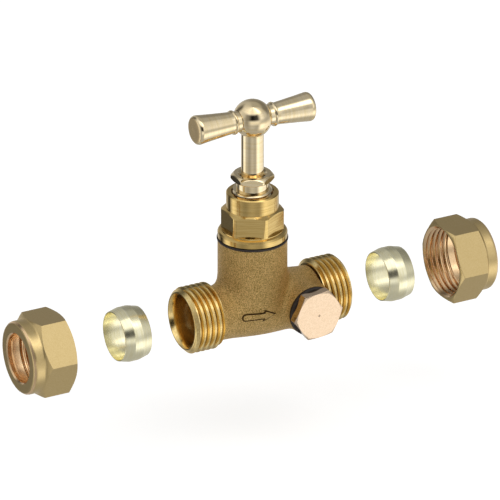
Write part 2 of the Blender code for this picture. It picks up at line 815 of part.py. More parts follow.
def crutch_hub(parent):
    bm = bmesh.new()
    rings = FACETS // 2
    bmesh.ops.create_uvsphere(bm, u_segments=FACETS, v_segments=rings, radius=HUB_RADIUS)
    hub = lay(object_of(bm, "crutch_hub"), UPRIGHT, (0, 0, HUB_HEIGHT))
    bore_top = HUB_BORE_DEPTH - HUB_RADIUS
    cut(hub, cylinder("hub_bore", STEM_RADIUS + SEAT_GAP, -HUB_RADIUS - 1, bore_top))
    stud_hole = ARM_STUD_RADIUS + RUNNING_GAP
    stud_end = HUB_SPOT - ARM_STUD_LENGTH - RUNNING_GAP
    for side, direction in (("left", TOWARDS_INLET), ("right", TOWARDS_OUTLET)):
        spot = turned(
            f"hub_spot_{side}",
            [
                (0, HUB_RADIUS + 1),
                (HUB_RADIUS, HUB_RADIUS + 1),
                (HUB_RADIUS, HUB_SPOT),
                (stud_hole, HUB_SPOT),
                (stud_hole, stud_end),
                (0, stud_end),
            ],
        )
        cut(hub, lay(spot, direction))
    hole = GRUB_RADIUS + RUNNING_GAP
    grub_hole = cylinder("hub_grub_hole", hole, 2, HUB_RADIUS + 1, SMALL_FACETS)
    cut(hub, lay(grub_hole, TOWARDS_BACK))
    return finish(hub, POLISHED_BRASS, parent)


def crutch_arm(side, direction, parent):
    seat = HUB_SPOT + SEAT_GAP
    arm = turned(
        f"crutch_arm_{side}",
        [
            (0, ARM_REACH),
            (ARM_END_RADIUS - 0.7, ARM_REACH),
            (ARM_END_RADIUS, ARM_REACH - 0.6),
            (ARM_ROOT_RADIUS, seat + 2.4),
            (ARM_LIP_RADIUS, seat + 2.0),
            (ARM_LIP_RADIUS, seat + 1.5),
            (ARM_NECK_RADIUS, seat + 1.1),
            (ARM_NECK_RADIUS, seat),
            (ARM_STUD_RADIUS, seat),
            (ARM_STUD_RADIUS, seat - ARM_STUD_LENGTH),
            (0, seat - ARM_STUD_LENGTH),
        ],
    )
    return finish(lay(arm, direction, (0, 0, HUB_HEIGHT)), POLISHED_BRASS, parent)


def handle_grub_screw(parent):
    inner = STEM_RADIUS + SEAT_GAP
    outer = inner + GRUB_LENGTH
    screw = cylinder("handle_grub_screw", GRUB_RADIUS, inner, outer, SMALL_FACETS)
    socket = cylinder("grub_socket", GRUB_RADIUS * 0.55, outer - 1, outer + 1, 6)
    cut(screw, socket)
    return finish(lay(screw, TOWARDS_BACK, (0, 0, HUB_HEIGHT)), TURNED_BRASS, parent)


# --- Drain-off ----------------------------------------------------------------------------------


def drain_thread(name, clearance):
    """The drain's screw thread: with a clearance it is the boss's cutter, without one the plug's."""
    top = BOSS_REACH + 1 if clearance else BOSS_REACH
    bottom = BOSS_REACH - (DRAIN_THREAD_DEPTH if clearance else PLUG_SHANK_LENGTH)
    return thread_rod(
        name,
        DRAIN_CREST + clearance,
        DRAIN_ROOT + clearance,
        DRAIN_PITCH,
        bottom,
        top,
        slack=THREAD_SLACK if clearance else 0,
        facets=SMALL_FACETS,
    )


def drain_washer(parent):
    bottom = BOSS_REACH + SEAT_GAP
    top = bottom + DRAIN_WASHER_THICKNESS
    inner = DRAIN_CREST + RUNNING_GAP
    washer = ring("drain_washer", BOSS_RADIUS, inner, bottom, top)
    return finish(lay(washer, TOWARDS_FRONT), BLACK_RUBBER, parent)


def drain_plug(parent):
    head_bottom = BOSS_REACH + DRAIN_WASHER_THICKNESS + 2 * SEAT_GAP
    head_top = head_bottom + PLUG_HEX_HEIGHT
    plug = hexagon(
        "drain_plug",
        PLUG_HEX_ACROSS,
        PLUG_HEX_RADIUS,
        head_bottom,
        head_top,
        PLUG_TURN,
        0.35,
    )
    shank_top = head_bottom + 0.5
    join(plug, cylinder("plug_shank", DRAIN_ROOT, BOSS_REACH - 1, shank_top, SMALL_FACETS))
    join(plug, drain_thread("plug_thread", 0))
    return finish(lay(plug, TOWARDS_FRONT), POLISHED_BRASS, parent)


# --- Compression nuts and olives ----------------------------------------------------------------


def compression_nut(name, turn):
    """A nut with its mouth at height 0. Its threads clear the port's crests, so it can slide home."""
    nut = hexagon(name, NUT_ACROSS, NUT_RADIUS, 0, NUT_HEX_LENGTH, turn, 0.5)
    join(
        nut,
        turned(
            name + "_collar",
            [
                (0, NUT_LENGTH),
                (NUT_COLLAR_RADIUS - 0.8, NUT_LENGTH),
                (NUT_COLLAR_RADIUS, NUT_LENGTH - 0.8),
                (NUT_COLLAR_RADIUS, NUT_HEX_LENGTH - 0.6),
                (0, NUT_HEX_LENGTH - 0.6),
            ],
        ),
    )
    relief = NUT_BORE + NUT_THREAD_HEIGHT / 2
    cone_start = NUT_CONE_END - (relief - NUT_HOLE_RADIUS) * 0.6
    thread_end = NUT_THREAD_END - 0.5
    drilled = NUT_BORE - 2 * RUNNING_GAP
    cut(
        nut,
        turned(
            name + "_bore",
            [
                (0, NUT_LENGTH + 1),
                (NUT_HOLE_RADIUS, NUT_LENGTH + 1),
                (NUT_HOLE_RADIUS, NUT_CONE_END),
                (relief, cone_start),
                (relief, thread_end),
                (drilled, thread_end),
                (drilled, NUT_MOUTH_RADIUS - drilled),
                (NUT_MOUTH_RADIUS + 1, -1),
                (0, -1),
            ],
        ),
    )
    cut(
        nut,
        thread_rod(
            name + "_thread",
            NUT_THREAD_RADIUS,
            NUT_BORE,
            PORT_PITCH,
            NUT_THREAD_START,
            NUT_THREAD_END,
        ),
    )
    return nut


def olive(name):
    """A barrel-shaped ring, from its inner end at height 0."""
    slope_length = (OLIVE_LENGTH - OLIVE_BAND) / 2
    return turned(
        name,
        [
            (OLIVE_BORE, OLIVE_LENGTH),
            (OLIVE_END_RADIUS, OLIVE_LENGTH),
            (OLIVE_RADIUS, OLIVE_LENGTH - slope_length),
            (OLIVE_RADIUS, slope_length),
            (OLIVE_END_RADIUS, 0),
            (OLIVE_BORE, 0),
        ],
    )


def pipe_end(side, direction, nut_out, nut_turn, olive_out):
    """One side's nut and olive, each on its own sliding empty on the pipe axis."""
    sign = -1 if direction == TOWARDS_INLET else 1
    pieces = (
        (compression_nut(f"{side}_nut", nut_turn), nut_out, TURNED_BRASS),
        (olive(f"{side}_olive"), olive_out, OLIVE_BRASS),
    )
    for piece, out, look in pieces:
        slider = joint_empty(f"{piece.name}_slider")
        lay(slider, direction, (sign * out, 0, 0))
        finish(piece, look, slider)


# --- The whole valve ----------------------------------------------------------------------------


def main():
    valve_body()
    bonnet()
    bonnet_seal()
    gland_packing()

    jumper_slider = joint_empty("jumper_slider")
    jumper(jumper_slider)
    seat_washer(jumper_slider)
    jumper_nut(jumper_slider)
    spindle_pivot = joint_empty("spindle_pivot")
    spindle_pivot.parent = jumper_slider
    spindle(spindle_pivot)
    crutch_hub(spindle_pivot)
    crutch_arm("left", TOWARDS_INLET, spindle_pivot)
    crutch_arm("right", TOWARDS_OUTLET, spindle_pivot)
    handle_grub_screw(spindle_pivot)

    gland_slider = joint_empty("gland_slider")
    gland_follower(gland_slider)
    gland_nut(gland_slider)

    drain_slider = joint_empty("drain_slider")
    drain_slider.location = (DRAIN_OFFSET * MM, 0, 0)
    drain_washer(drain_slider)
    drain_plug(drain_slider)

    pipe_end("inlet", TOWARDS_INLET, INLET_NUT_OUT, INLET_NUT_TURN, INLET_OLIVE_OUT)
    pipe_end("outlet", TOWARDS_OUTLET, OUTLET_NUT_OUT, OUTLET_NUT_TURN, OUTLET_OLIVE_OUT)


main()
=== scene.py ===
"""A brass stop valve for 15 mm pipe, with its nuts and olives drawn off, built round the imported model.

Profiles are in millimetres, as (radius, height) points from the outer end of a turned piece down.
"""

import math

import bmesh
import bpy
from mathutils import Matrix, Vector


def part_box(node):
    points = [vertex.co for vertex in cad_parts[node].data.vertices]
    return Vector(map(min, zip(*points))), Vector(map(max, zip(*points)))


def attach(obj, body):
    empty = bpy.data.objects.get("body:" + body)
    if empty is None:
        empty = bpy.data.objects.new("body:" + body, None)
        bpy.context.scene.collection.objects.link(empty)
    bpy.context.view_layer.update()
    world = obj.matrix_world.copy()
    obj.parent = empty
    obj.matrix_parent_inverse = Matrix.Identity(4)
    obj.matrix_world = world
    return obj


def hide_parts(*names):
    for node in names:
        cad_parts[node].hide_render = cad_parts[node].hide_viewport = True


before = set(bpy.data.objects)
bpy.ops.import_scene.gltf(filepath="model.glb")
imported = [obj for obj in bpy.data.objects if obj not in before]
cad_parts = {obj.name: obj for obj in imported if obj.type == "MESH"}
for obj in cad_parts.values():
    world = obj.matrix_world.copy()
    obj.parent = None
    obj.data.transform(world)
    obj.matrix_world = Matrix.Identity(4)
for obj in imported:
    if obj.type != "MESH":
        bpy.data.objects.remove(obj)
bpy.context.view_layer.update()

# --- Cast body ----------------------------------------------------------------------------------
# A hot-stamped brass body: a run along the pipe, an upright neck for the bonnet and a boss for the
# drain plug, which flow into each other with soft fillets. Its skin is dull and sandy.

mm = 0.001
ALONG_INLET = Matrix.Rotation(-math.pi / 2, 4, "Y")
ALONG_OUTLET = Matrix.Rotation(math.pi / 2, 4, "Y")
ALONG_FRONT = Matrix.Rotation(math.pi / 2, 4, "X")
ALONG_BACK = Matrix.Rotation(-math.pi / 2, 4, "X")


def turned(profile, steps=96):
    """A bmesh turned about Z, in millimetres. The profile ends on the axis, or goes round a bore."""
    bm = bmesh.new()
    points = [bm.verts.new((radius, 0, height)) for radius, height in profile]
    edges = [bm.edges.new(pair) for pair in zip(points, points[1:])]
    if profile[0][0] > 0:
        edges.append(bm.edges.new((points[-1], points[0])))
    bmesh.ops.spin(
        bm,
        geom=points + edges,
        cent=(0, 0, 0),
        axis=(0, 0, 1),
        angle=2 * math.pi,
        steps=steps,
        use_merge=True,
    )
    bmesh.ops.remove_doubles(bm, verts=bm.verts, dist=0.0001)
    return bm


def rod(radius, bottom, top, steps=96):
    return turned([(0, top), (radius, top), (radius, bottom), (0, bottom)], steps)


def piece_from(bm, name, place=None):
    """Closes a bmesh in millimetres off as an object in metres, with its place in its mesh."""
    bmesh.ops.recalc_face_normals(bm, faces=bm.faces)
    move = Matrix.Scale(mm, 4) @ (place or Matrix.Identity(4))
    bmesh.ops.transform(bm, matrix=move, verts=bm.verts)
    mesh = bpy.data.meshes.new(name)
    bm.to_mesh(mesh)
    bm.free()
    made = bpy.data.objects.new(name, mesh)
    bpy.context.scene.collection.objects.link(made)
    return made


def apply_modifiers(piece):
    """Leaves the piece with the mesh that its modifiers make."""
    graph = bpy.context.evaluated_depsgraph_get()
    mesh = bpy.data.meshes.new_from_object(piece.evaluated_get(graph))
    piece.modifiers.clear()
    piece.data = mesh


def shaped(piece, tool, operation="DIFFERENCE"):
    """Cuts, joins or trims the piece with a tool object, which is used up."""
    change = piece.modifiers.new("shape", "BOOLEAN")
    change.operation = operation
    change.object = tool
    change.solver = "MANIFOLD"
    apply_modifiers(piece)
    bpy.data.objects.remove(tool)


def eased(piece, width, segments=2, angle=28):
    """Takes the sharpness off a piece's edges, as deburring does."""
    bevel = piece.modifiers.new("edges", "BEVEL")
    bevel.width = width * mm
    bevel.segments = segments
    bevel.limit_method = "ANGLE"
    bevel.angle_limit = math.radians(angle)
    bevel.use_clamp_overlap = True
    apply_modifiers(piece)


def finished(piece, material, body, nodes, sharp=32):
    """Shades a piece, gives it its material, ties it to its body and hides the nodes it stands for."""
    piece.data.materials.clear()
    piece.data.materials.append(material)
    piece.data.shade_smooth()
    piece.data.set_sharp_from_angle(angle=math.radians(sharp))
    weigh = piece.modifiers.new("normals", "WEIGHTED_NORMAL")
    weigh.keep_sharp = True
    apply_modifiers(piece)
    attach(piece, body)
    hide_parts(*nodes)


def grained(
    name,
    light,
    dark,
    roughness,
    grain,
    depth,
    stretch=(1, 1, 1),
    spread=0.12,
    metallic=1.0,
    painted_shade=None,
    reach=1.6,
    open_at=(0.15, 0.6),
):
    """A procedural metal: a fine grain, in millimetres, tints it, roughens it and dents it.

    Its hollows, which ambient occlusion finds, are darkened towards a dark colour, a painted shade where
    light falls less. They look out to a reach, in millimetres, and open_at holds how open a place is
    where the painted shade is full and where it ends.
    """
    material = bpy.data.materials.new(name)
    material.use_nodes = True
    nodes, links = material.node_tree.nodes, material.node_tree.links
    shader = nodes["Principled BSDF"]
    shader.inputs["Metallic"].default_value = metallic
    coordinates = nodes.new("ShaderNodeTexCoord")
    mapping = nodes.new("ShaderNodeMapping")
    mapping.inputs["Scale"].default_value = stretch
    links.new(coordinates.outputs["Object"], mapping.inputs["Vector"])
    fine = nodes.new("ShaderNodeTexNoise")
    fine.inputs["Scale"].default_value = 1 / (grain * mm)
    fine.inputs["Detail"].default_value = 3
    fine.inputs["Roughness"].default_value = 0.6
    links.new(mapping.outputs["Vector"], fine.inputs["Vector"])
    broad = nodes.new("ShaderNodeTexNoise")
    broad.inputs["Scale"].default_value = 1 / (9 * grain * mm)
    broad.inputs["Detail"].default_value = 2
    links.new(coordinates.outputs["Object"], broad.inputs["Vector"])
    blend = nodes.new("ShaderNodeMath")
    blend.operation = "MULTIPLY_ADD"
    blend.inputs[1].default_value = 0.12
    links.new(broad.outputs["Fac"], blend.inputs[0])
    links.new(fine.outputs["Fac"], blend.inputs[2])
    tint = nodes.new("ShaderNodeValToRGB")
    tint.color_ramp.elements[0].position = 0.44
    tint.color_ramp.elements[0].color = (*dark, 1)
    tint.color_ramp.elements[1].position = 0.68
    tint.color_ramp.elements[1].color = (*light, 1)
    links.new(blend.outputs["Value"], tint.inputs["Fac"])
    shown = tint.outputs["Color"]
    # Painted shade: the colour is darkened in hollows and crevices by ambient occlusion.
    if painted_shade:
        open_air = nodes.new("ShaderNodeAmbientOcclusion")
        open_air.samples = 16
        open_air.inputs["Distance"].default_value = reach * mm
        hidden = nodes.new("ShaderNodeMapRange")
        hidden.inputs["From Min"].default_value = open_at[0]
        hidden.inputs["From Max"].default_value = open_at[1]
        links.new(open_air.outputs["AO"], hidden.inputs["Value"])
        darker = nodes.new("ShaderNodeMix")
        darker.data_type = "RGBA"
        darker.inputs[6].default_value = (*painted_shade, 1)
        links.new(hidden.outputs["Result"], darker.inputs["Factor"])
        links.new(shown, darker.inputs[7])
        shown = darker.outputs[2]
    links.new(shown, shader.inputs["Base Color"])
    polish = nodes.new("ShaderNodeMapRange")
    polish.inputs["From Min"].default_value = 0.3
    polish.inputs["From Max"].default_value = 0.7
    polish.inputs["To Min"].default_value = roughness + spread / 2
    polish.inputs["To Max"].default_value = roughness - spread / 2
    links.new(fine.outputs["Fac"], polish.inputs["Value"])
    links.new(polish.outputs["Result"], shader.inputs["Roughness"])
    dents = nodes.new("ShaderNodeBump")
    dents.inputs["Distance"].default_value = depth * mm
    links.new(fine.outputs["Fac"], dents.inputs["Height"])
    links.new(dents.outputs["Normal"], shader.inputs["Normal"])
    return material


body_low, body_high = (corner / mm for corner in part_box("valve_body"))
inlet_face, outlet_face = -body_low.x, body_high.x
neck_top, boss_end = body_high.z, -body_low.y
thread_length, tube, bulb, bulb_x, bulb_half = 9.8, 8.65, 9.84, 5.0, 15
neck_radius, boss_radius, past_thread = 10.92, 8.26, 0.4
skin_cell, smoothings = 0.42, 110
low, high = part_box("drain_plug")
drain_x = (low.x + high.x) / 2 / mm

run_profile = [(0, outlet_face - 4), (tube, outlet_face - 4)]
for step in range(25):
    share = step / 24
    swell = (bulb - tube) * math.cos(math.pi * (share - 0.5))
    run_profile.append((tube + swell, bulb_x + bulb_half - 2 * bulb_half * share))
run_profile += [(tube, 4 - inlet_face), (0, 4 - inlet_face)]

casting = piece_from(turned(run_profile), "body_casting", ALONG_OUTLET)
shaped(casting, piece_from(rod(neck_radius, 0, neck_top + 4), "neck"), "UNION")
boss_place = Matrix.Translation((drain_x, 0, 0)) @ ALONG_FRONT
shaped(casting, piece_from(rod(boss_radius, 0, boss_end + 4), "boss", boss_place), "UNION")
skin = casting.modifiers.new("skin", "REMESH")
skin.mode = "VOXEL"
skin.voxel_size = skin_cell * mm
apply_modifiers(casting)
bm = bmesh.new()
bm.from_mesh(casting.data)
for _ in range(smoothings):
    bmesh.ops.smooth_vert(
        bm, verts=bm.verts, factor=0.5, use_axis_x=True, use_axis_y=True, use_axis_z=True
    )
for point, outwards in (
    ((0, 0, neck_top), (0, 0, 1)),
    ((0, -boss_end, 0), (0, -1, 0)),
    ((thread_length + past_thread - inlet_face, 0, 0), (-1, 0, 0)),
    ((outlet_face - thread_length - past_thread, 0, 0), (1, 0, 0)),
):
    cut = bmesh.ops.bisect_plane(
        bm,
        geom=bm.verts[:] + bm.edges[:] + bm.faces[:],
        plane_co=Vector(point) * mm,
        plane_no=outwards,
        clear_outer=True,
    )
    rim = [e for e in cut["geom_cut"] if isinstance(e, bmesh.types.BMEdge)]
    bmesh.ops.holes_fill(bm, edges=rim)
bmesh.ops.recalc_face_normals(bm, faces=bm.faces)
bm.to_mesh(casting.data)
bm.free()

# --- Flow arrow ---------------------------------------------------------------------------------
# The arrow that shows which way the water goes, stamped on the front of the same forging. It has a
# rounded tail and follows the skin that it stands on, and the die leaves a shallow groove round it.


def arrow_slab(grow):
    """The arrow's outline, grown by some distance, as a slab that stands across the front."""
    tail, tip, neck_x = -7.9 - grow, 2.0 + 1.6 * grow, -1.1 - grow
    shaft_half, head_half = 0.85 + grow, 1.6 + 1.5 * grow
    front, back, middle = -14, -5, 0.85
    outline = [
        (
            tail + shaft_half - shaft_half * math.sin(math.pi * step / 8),
            shaft_half * math.cos(math.pi * step / 8),
        )
        for step in range(9)
    ]
    outline += [(neck_x, -shaft_half), (neck_x, -head_half), (tip, 0)]
    outline += [(neck_x, head_half), (neck_x, shaft_half)]
    bm = bmesh.new()
    flat = bm.faces.new([bm.verts.new((x, front, middle + z)) for x, z in outline])
    grown = bmesh.ops.extrude_face_region(bm, geom=[flat])["geom"]
    raised = [v for v in grown if isinstance(v, bmesh.types.BMVert)]
    bmesh.ops.translate(bm, verts=raised, vec=(0, back - front, 0))
    return bm


def grown_casting(by):
    """A copy of the casting with its skin moved outwards."""
    bm = bmesh.new()
    bm.from_mesh(casting.data)
    bmesh.ops.transform(bm, matrix=Matrix.Scale(1 / mm, 4), verts=bm.verts)
    bm.normal_update()
    for v in bm.verts:
        v.co += v.normal * by
    return piece_from(bm, "grown_casting")


groove_width, groove_depth, arrow_raise = 0.5, 0.3, 0.22
groove = piece_from(arrow_slab(groove_width), "arrow_groove")
shaped(groove, grown_casting(-groove_depth))
arrow = piece_from(arrow_slab(0), "arrow")
shaped(arrow, grown_casting(arrow_raise), "INTERSECT")
shaped(casting, groove)
shaped(casting, arrow, "UNION")

# --- Waterway -----------------------------------------------------------------------------------
# What is drilled out of the casting: a socket for the pipe at each end, the neck's bore and the seat
# below it, a duct from either side and the drain's hole. The casting gets its skin after these cuts.

socket, stop_depth, waterway = 7.6, 10.5, 6.0
neck_bore, drain_bore = 9.1, 6.75
for name, reach, direction in (
    ("inlet", inlet_face, ALONG_INLET),
    ("outlet", outlet_face, ALONG_OUTLET),
):
    inner = 12.0 if name == "inlet" else 9.5
    bore = [(0, reach), (socket, reach), (socket, reach - stop_depth)]
    bore += [(waterway, reach - stop_depth), (waterway, inner), (0, inner)]
    shaped(casting, piece_from(turned(bore), "bore", direction))
shaped(casting, piece_from(rod(neck_bore, 12.2, neck_top + 1), "neck_bore"))
chamber, seat_bore, seat_face, seat_moat = 6.9, 4.2, 4.0, 3.2
hollow = [
    (0, 13),
    (chamber + 1, 13),
    (chamber + 1, 9.5),
    (chamber, 8),
    (chamber, seat_moat),
    (5.4, seat_moat),
    (5.2, seat_face),
    (seat_bore, seat_face),
    (seat_bore, -4.0),
    (0, -4.0),
]
shaped(casting, piece_from(turned(hollow), "chamber"))
for name, start, end, bore in (
    ("inlet_duct", (-12.5, -1.0), (1.5, -4.2), 4.2),
    ("outlet_duct", (5.5, 7.5), (drain_x, 0.5), 4.0),
):
    along = Vector((end[0] - start[0], 0, end[1] - start[1]))
    lie = along.to_track_quat("Z", "Y").to_matrix().to_4x4()
    place = Matrix.Translation((start[0], 0, start[1])) @ lie
    shaped(casting, piece_from(rod(bore, 0, along.length, 48), name, place))
shaped(casting, piece_from(rod(drain_bore, 2, boss_end + 1), "drain_bore", boss_place))

# Cast brass whose hollows, the fillets and the groove round the arrow among them, are darkened with a
# painted shade by ambient occlusion.
cast_brass = grained(
    "cast_brass",
    (0.92, 0.64, 0.26),
    (0.4, 0.245, 0.065),
    0.4,
    0.3,
    0.45,
    spread=0.2,
    painted_shade=(0.1, 0.045, 0.01),
    reach=0.9,
    open_at=(0.4, 0.85),
)
finished(casting, cast_brass, "valve", ["valve_body"], sharp=50)

# --- Ports --------------------------------------------------------------------------------------
# Both ends are turned and threaded G 1/2 from the same forging, bright golden where the tool has
# cut, with a coned mouth for the olive and a socket that the pipe stops in.


def screw_thread(crest, root, pitch, bottom, top, steps=72, slack=0.0):
    """A right-hand thread with rounded crests and roots, in step with the same thread in the model."""
    first = math.floor(bottom / pitch) - 1
    turns = math.ceil(top / pitch) + 1 - first
    start, rise = first * pitch, crest - root
    flank, flat = 0.3 * pitch, 0.2 * pitch
    ridge = [
        (0.0, -slack),
        (0.08, 0.1 * flank - slack),
        (0.92, 0.9 * flank - slack),
        (1.0, flank + 0.15 * flat - slack),
        (1.0, flank + 0.85 * flat + slack),
        (0.92, 1.1 * flank + flat + slack),
        (0.08, 1.9 * flank + flat + slack),
        (0.0, 2 * flank + flat + slack),
        (0.0, pitch - slack),
    ]
    bm = bmesh.new()
    points = [bm.verts.new((root + rise * share, 0, start + height)) for share, height in ridge]
    edges = [bm.edges.new(pair) for pair in zip(points, points[1:])]
    bmesh.ops.spin(
        bm,
        geom=points + edges,
        cent=(0, 0, 0),
        axis=(0, 0, 1),
        dvec=(0, 0, pitch / steps),
        angle=2 * math.pi * turns,
        steps=steps * turns,
    )
    bmesh.ops.remove_doubles(bm, verts=bm.verts, dist=0.0005)
    for height, side in ((top, 1), (bottom, -1)):
        cut = bmesh.ops.bisect_plane(
            bm,
            geom=bm.verts[:] + bm.edges[:] + bm.faces[:],
            plane_co=(0, 0, height),
            plane_no=(0, 0, side),
            clear_outer=True,
        )
        rim = [e for e in cut["geom_cut"] if isinstance(e, bmesh.types.BMEdge)]
        bmesh.ops.holes_fill(bm, edges=rim)
    return bm


# The thread's valleys are darkened with a painted shade by ambient occlusion that looks out a long way.
thread_brass = grained(
    "thread_brass",
    (0.95, 0.74, 0.34),
    (0.86, 0.62, 0.24),
    0.2,
    0.5,
    0.006,
    spread=0.08,
    painted_shade=(0.22, 0.09, 0.01),
    reach=14,
    open_at=(0.12, 0.5),
)
port_crest, port_root, port_pitch = 10.4775, 9.32, 1.814
mouth, mouth_depth, face_chamfer = 8.75, 1.9, 1.2
for name, reach, direction in (
    ("inlet", inlet_face, ALONG_INLET),
    ("outlet", outlet_face, ALONG_OUTLET),
):
    inner = reach - thread_length
    thread = screw_thread(port_crest, port_root, port_pitch, inner, reach + 0.5)
    port = piece_from(thread, f"{name}_port", direction)
    face = port_crest - face_chamfer
    bound = [
        (0, reach),
        (face - 0.15, reach),
        (face, reach - 0.1),
        (port_crest + 1, reach - face_chamfer - 1),
        (port_crest + 1, inner - 0.1),
        (0, inner - 0.1),
    ]
    shaped(port, piece_from(turned(bound), "bound", direction), "INTERSECT")
    slope = (mouth - socket) / mouth_depth
    bore = [
        (0, reach + 1),
        (mouth + slope, reach + 1),
        (socket, reach - mouth_depth),
        (socket, inner - 1),
        (0, inner - 1),
    ]
    shaped(port, piece_from(turned(bore), "bore", direction))
    finished(port, thread_brass, "valve", ["valve_body"], sharp=40)

# --- Bonnet seal --------------------------------------------------------------------------------
# A thin black fibre ring squeezed between the neck and the bonnet's flange.


def ring(outer, inner, bottom, top, edge=0.15):
    return turned(
        [
            (inner, top),
            (outer - edge, top),
            (outer, top - edge),
            (outer, bottom + edge),
            (outer - edge, bottom),
            (inner, bottom),
        ]
    )


rubber = grained(
    "black_rubber", (0.035, 0.025, 0.02), (0.014, 0.01, 0.008), 0.6, 0.3, 0.02, metallic=0.0
)
low, high = (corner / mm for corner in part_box("bonnet_seal"))
seal = piece_from(ring(high.x, neck_bore, low.z, high.z), "bonnet_seal_ring")
finished(seal, rubber, "valve", ["bonnet_seal"])

# --- Bonnet -------------------------------------------------------------------------------------
# Turned from bar: a flange on the seal, six spanner flats milled into a collar, and a round top that
# holds the gland. Its bore carries the spindle's thread below and the packing above.


def flats(across, bottom, top, turn):
    """A hexagonal prism across its flats, turned round Z by some degrees."""
    bm = bmesh.new()
    bmesh.ops.create_cone(
        bm,
        cap_ends=True,
        segments=6,
        radius1=across / math.sqrt(3),
        radius2=across / math.sqrt(3),
        depth=top - bottom,
    )
    lift = Matrix.Translation((0, 0, (top + bottom) / 2))
    turning = Matrix.Rotation(math.radians(turn), 4, "Z")
    bmesh.ops.transform(bm, matrix=lift @ turning, verts=bm.verts)
    return bm


# Turned brass whose hollows are darkened with a painted shade by ambient occlusion.
turned_brass = grained(
    "turned_brass",
    (0.77, 0.555, 0.215),
    (0.67, 0.46, 0.155),
    0.14,
    0.6,
    0.004,
    stretch=(0.06, 0.06, 1.6),
    spread=0.1,
    painted_shade=(0.24, 0.13, 0.05),
)
low, high = (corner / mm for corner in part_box("bonnet"))
flange_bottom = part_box("bonnet_seal")[1].z / mm + 0.1
hex_bottom, bonnet_top = flange_bottom + 2.6, high.z
hex_top, collar, shoulder, flange = hex_bottom + 7.2, 9.7, 8.15, 10.8
bonnet = piece_from(
    turned(
        [
            (0, hex_top + 0.05),
            (shoulder - 0.1, hex_top + 0.05),
            (collar, hex_top - 0.85),
            (collar, hex_bottom - 1),
            (0, hex_bottom - 1),
        ]
    ),
    "bonnet_casing",
)
flat_tool = piece_from(flats(17.5, hex_bottom + 0.35, hex_top + 2, -3), "flats")
below = piece_from(rod(collar + 1, hex_bottom - 2, hex_bottom + 0.4), "below")
shaped(flat_tool, below, "UNION")
shaped(bonnet, flat_tool, "INTERSECT")
eased(bonnet, 0.12)
stem_part = turned(
    [
        (0, bonnet_top),
        (shoulder - 0.35, bonnet_top),
        (shoulder, bonnet_top - 0.35),
        (shoulder, hex_bottom),
        (flange - 1.0, hex_bottom),
        (flange - 0.35, hex_bottom - 0.25),
        (flange, hex_bottom - 0.8),
        (flange, flange_bottom + 0.25),
        (flange - 0.25, flange_bottom),
        (8.95, flange_bottom),
        (8.95, low.z + 1.5),
        (8.0, low.z + 0.5),
        (7.5, low.z),
        (0, low.z),
    ]
)
shaped(bonnet, piece_from(stem_part, "stem_part"), "UNION")
gland_root = 5.6
bores = turned(
    [
        (0, bonnet_top + 1),
        (6.6, bonnet_top + 1),
        (6.6, bonnet_top - 0.7),
        (gland_root, bonnet_top - 1.4),
        (5.4, 34.0),
        (5.4, 30.7),
        (3.65, 30.7),
        (3.65, 29.0),
        (4.02, 29.0),
        (4.02, 16.0),
        (6.7, 16.0),
        (6.7, low.z - 1),
        (0, low.z - 1),
    ]
)
shaped(bonnet, piece_from(bores, "bores"))
spindle_pitch = 2.5
female = screw_thread(5.02, 4.07, spindle_pitch, 15.5, 29.2, steps=64, slack=0.05)
shaped(bonnet, piece_from(female, "spindle_thread"))
finished(bonnet, turned_brass, "valve", ["bonnet"])

# --- Gland nut ----------------------------------------------------------------------------------
# A small nut that screws down into the bonnet and squeezes the packing on to the spindle: a fine
# thread, a plain neck and a hexagon with both corners turned off.

polished_brass = grained(
    "polished_brass",
    (0.98, 0.82, 0.54),
    (0.93, 0.75, 0.45),
    0.08,
    0.8,
    0.002,
    stretch=(0.1, 0.1, 1),
    spread=0.05,
)
low, high = (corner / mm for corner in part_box("gland_nut"))
stem = 3.5
head_bottom = high.z - 2.5
gland_nut = piece_from(flats(12.0, head_bottom, high.z, 2), "gland_nut_turned")
corners_off = turned(
    [
        (0, high.z + 1),
        (4.9, high.z + 1),
        (5.75, high.z),
        (6.75, high.z - 0.85),
        (6.75, head_bottom + 0.75),
        (5.6, head_bottom),
        (5.6, head_bottom - 1),
        (0, head_bottom - 1),
    ]
)
shaped(gland_nut, piece_from(corners_off, "corners"), "INTERSECT")
eased(gland_nut, 0.1)
neck_part = turned([(0, high.z - 1), (5.0, high.z - 1), (5.0, low.z + 0.5), (0, low.z + 0.5)])
shaped(gland_nut, piece_from(neck_part, "neck"), "UNION")
gland_thread = screw_thread(6.1, 5.45, 1.25, low.z, low.z + 4.4, 64)
shaped(gland_nut, piece_from(gland_thread, "thread"), "UNION")
gland_bore = turned(
    [
        (0, high.z + 1),
        (stem + 2.0, high.z + 1),
        (stem + 0.9, high.z - 0.1),
        (stem + 0.15, high.z - 0.8),
        (stem + 0.15, low.z - 1),
        (0, low.z - 1),
    ]
)
shaped(gland_nut, piece_from(gland_bore, "bore"))
finished(gland_nut, polished_brass, "gland_nut", ["gland_nut"])

# --- Spindle ------------------------------------------------------------------------------------
# A ground and polished brass rod that runs in the bonnet on a coarse thread. The jumper's pin sits
# in the hole in its lower end.

low, high = (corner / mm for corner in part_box("spindle"))
spindle = piece_from(
    turned(
        [
            (0, high.z),
            (stem - 0.3, high.z),
            (stem, high.z - 0.3),
            (stem, 22.6),
            (3.75, 22.4),
            (3.75, low.z + 0.4),
            (3.35, low.z),
            (0, low.z),
        ]
    ),
    "spindle_ground",
)
male = screw_thread(4.9, 3.95, spindle_pitch, 13.0, 22.5, 64)
shaped(spindle, piece_from(male, "thread"), "UNION")
shaped(spindle, piece_from(rod(2.35, low.z - 1, low.z + 10.9, 64), "pin_hole"))
finished(spindle, polished_brass, "spindle_and_handle", ["spindle"])

# --- Crutch handle ------------------------------------------------------------------------------
# A polished ball on top of the spindle with two flared arms screwed into it. Each arm has a thin
# shoulder ring beside the ball and a duller, faced-off end.

